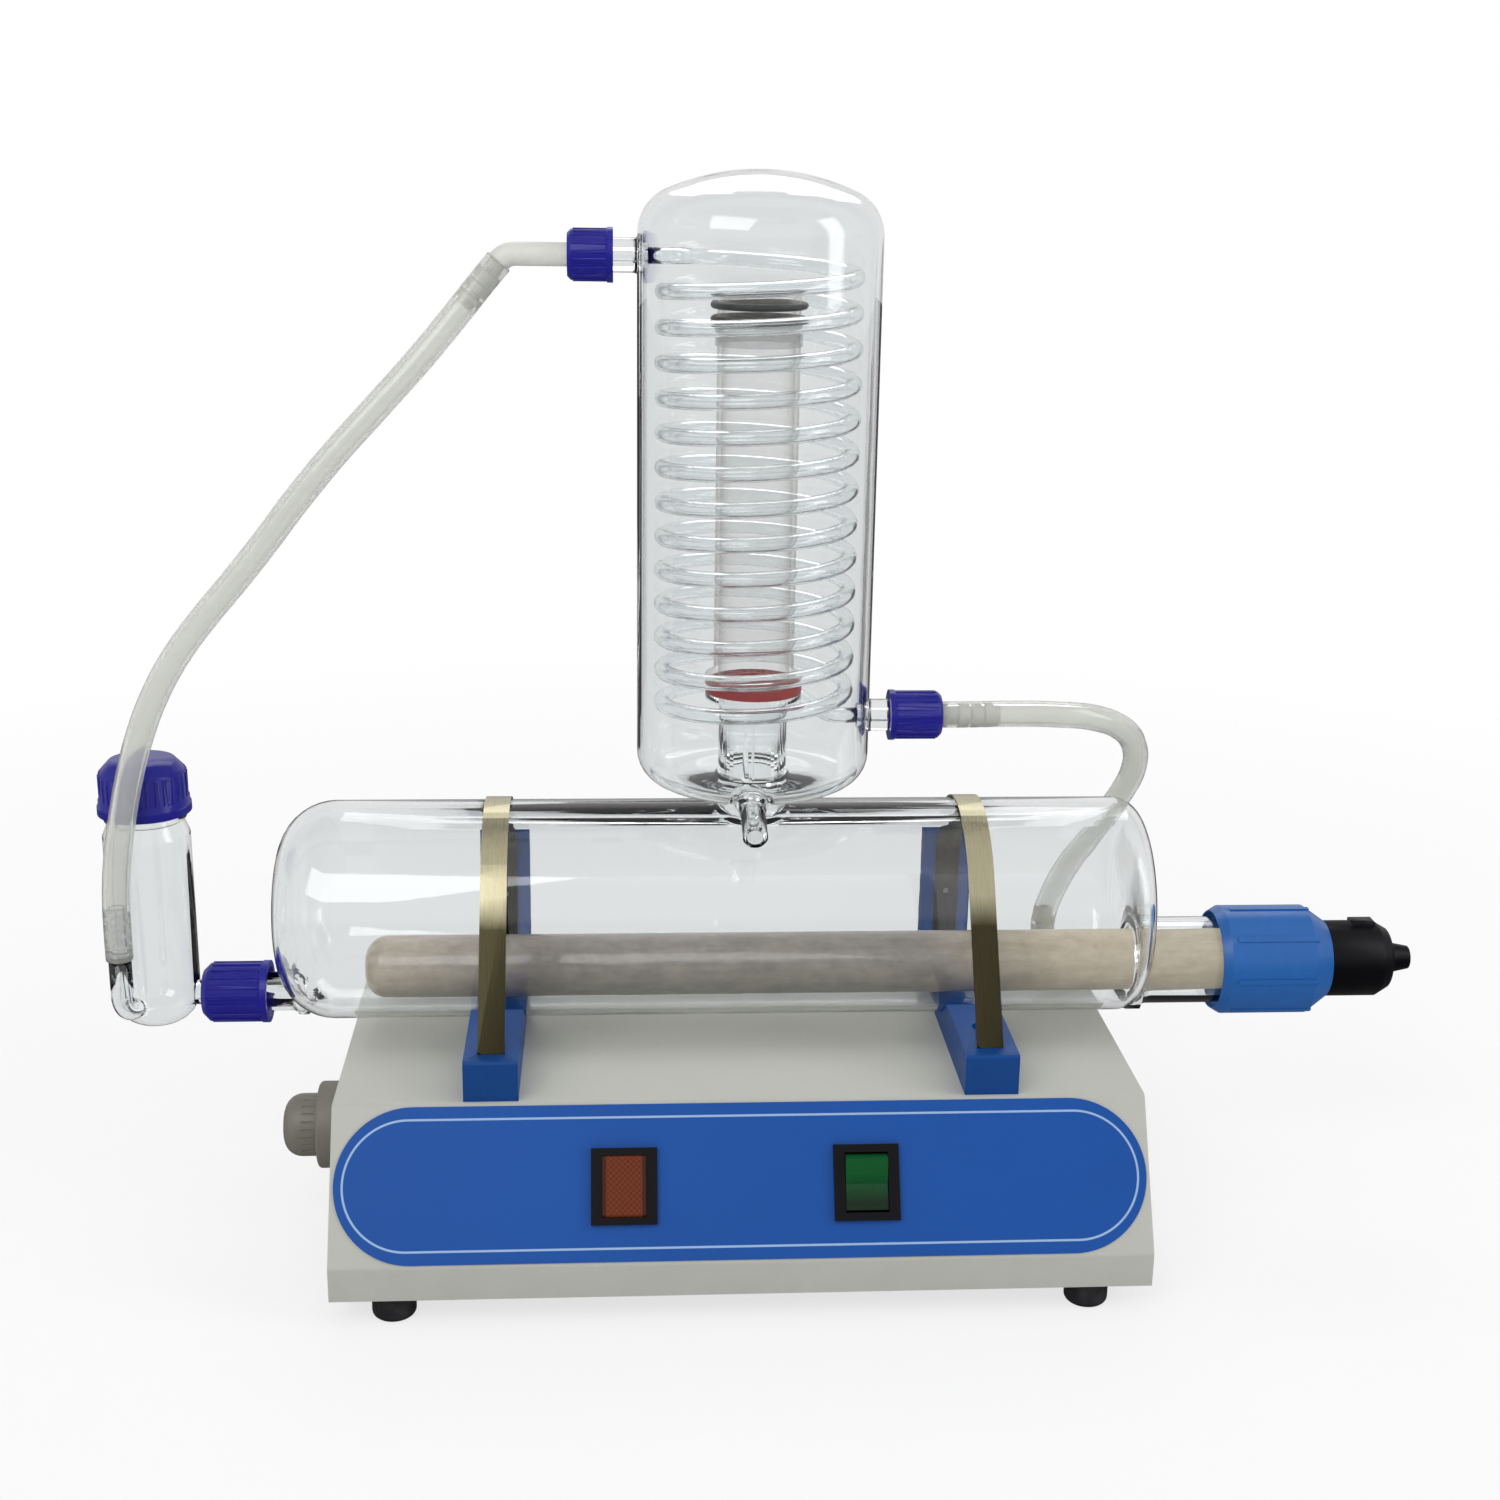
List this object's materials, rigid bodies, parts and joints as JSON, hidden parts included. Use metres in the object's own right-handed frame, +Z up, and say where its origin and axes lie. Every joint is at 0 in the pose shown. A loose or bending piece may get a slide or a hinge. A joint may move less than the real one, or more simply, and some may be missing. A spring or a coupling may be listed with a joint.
{
  "type": "glass water distiller",
  "caption": "Bench water still: horizontal glass boiler with an immersion heater, glass condenser with a coil, levelling bottle, hoses and a sloping metal base.",
  "frame": {"origin": "bottom centre of the still's own box, on the bench, hoses left out", "axes": "+X towards the heater's terminal cap, +Y to the back, +Z up"},
  "size_m": [0.6107, 0.242, 0.4699],
  "materials": {
    "cream_paint": "cream powder coat, fine texture",
    "bare_steel": "zinc-plated sheet and screws",
    "strap_steel": "bright stainless strip, fine grain along it",
    "foot_rubber": "black moulded rubber",
    "label_blue": "smooth printed blue film",
    "black_plastic": "black moulded plastic",
    "lens_amber": "dark amber translucent plastic",
    "rocker_green": "dark green translucent plastic",
    "brass": "turned brass",
    "gland_grey": "grey-beige moulded nylon",
    "bracket_blue": "blue enamel",
    "clear_glass": "clear borosilicate glass",
    "sheath_glass": "clear silica tube",
    "red_silicone": "red silicone rubber",
    "black_silicone": "black seal rubber",
    "sleeve_grey": "grey sleeve",
    "cap_blue": "deep blue moulded plastic",
    "nut_blue": "mid blue moulded plastic",
    "fitting_white": "milky white moulded plastic",
    "fitting_cream": "cream moulded plastic",
    "hose_clear": "milky translucent silicone hose",
    "heater_ceramic": "cream fired ceramic",
    "heater_wire": "mottled grey-brown winding",
    "switch_grey": "dark grey moulded plastic"
  },
  "bodies": {
    "still": {"base_housing": "cream_paint", "base_plate": "bare_steel", "housing_screws": "bare_steel", "foot_front_left": "foot_rubber", "foot_front_right": "foot_rubber", "foot_back_left": "foot_rubber", "foot_back_right": "foot_rubber", "foot_screws": "bare_steel", "front_label": "label_blue", "indicator_body": "black_plastic", "indicator_lens": "lens_amber", "switch_body": "black_plastic", "panel_terminals": "brass", "gland_body": "gland_grey", "gland_seal": "black_silicone", "gland_locknut": "gland_grey", "bracket_left": "bracket_blue", "bracket_right": "bracket_blue", "bracket_screws": "bare_steel", "strap_left": "strap_steel", "strap_right": "strap_steel", "strap_screws": "bare_steel", "boiler_glass": "clear_glass", "condenser_jacket": "clear_glass", "condenser_coil": "clear_glass", "chimney_tube": "clear_glass", "chimney_ring": "black_silicone", "chimney_sleeve": "sleeve_grey", "neck_seal": "red_silicone", "upper_hose_nozzle": "fitting_white", "lower_hose_nozzle": "fitting_cream", "port_seals": "red_silicone", "levelling_bottle": "clear_glass", "coupling_seal": "red_silicone", "heater_sheath": "sheath_glass", "heater_core": "heater_ceramic", "heater_winding": "heater_wire", "heater_seal": "black_silicone", "heater_terminal_cap": "black_plastic", "heater_terminals": "brass", "water_outlet": "fitting_cream", "outlet_locknut": "brass", "water_inlet": "brass", "inlet_locknut": "brass", "pressure_switch": "switch_grey", "inner_water_tube": "fitting_white", "terminal_block": "heater_ceramic", "feed_hose": "hose_clear", "cooling_hose": "hose_clear"},
    "rocker": {"switch_rocker": "rocker_green"},
    "gland_nut": {"gland_nut": "gland_grey"},
    "upper_cap": {"upper_hose_cap": "cap_blue"},
    "lower_cap": {"lower_hose_cap": "cap_blue"},
    "coupling": {"coupling_nut": "cap_blue"},
    "union": {"heater_union_nut": "nut_blue"},
    "liner": {"cap_liner": "fitting_white"},
    "cap": {"bottle_cap": "cap_blue"}
  },
  "joints": [
    {"name": "rocker_tip", "type": "hinge", "parent": "still", "child": "rocker", "pos_m": [0.03308, -0.10328, 0.05408], "axis": [1, 0, 0], "range_deg": [-20, 0]},
    {"name": "gland_nut_turn", "type": "hinge", "parent": "still", "child": "gland_nut", "pos_m": [-0.21893, -0.033, 0.05], "axis": [-1, 0, 0], "range_deg": [0, 180]},
    {"name": "upper_cap_turn", "type": "hinge", "parent": "still", "child": "upper_cap", "pos_m": [-0.08392, 0.005, 0.434], "axis": [-1, 0, 0], "range_deg": [0, 180]},
    {"name": "lower_cap_turn", "type": "hinge", "parent": "still", "child": "lower_cap", "pos_m": [0.06107, 0.005, 0.232], "axis": [1, 0, 0], "range_deg": [0, 180]},
    {"name": "coupling_turn", "type": "hinge", "parent": "still", "child": "coupling", "pos_m": [-0.24893, 0.005, 0.0994], "axis": [-1, 0, 0], "range_deg": [0, 180]},
    {"name": "union_turn", "type": "hinge", "parent": "still", "child": "union", "pos_m": [0.23608, 0.005, 0.1108], "axis": [1, 0, 0], "range_deg": [0, 180]},
    {"name": "cap_lift", "type": "slide", "parent": "still", "child": "liner", "axis": [0, 0, 1], "range_m": [0, 0.022]},
    {"name": "cap_turn", "type": "hinge", "parent": "liner", "child": "cap", "pos_m": [-0.28492, 0.005, 0.2], "axis": [0, 0, 1], "range_deg": [0, 1980]}
  ],
  "couplings": [
    {"joint": "cap_lift", "follows": "cap_turn", "m_per_rad": 0.00063662}
  ]
}
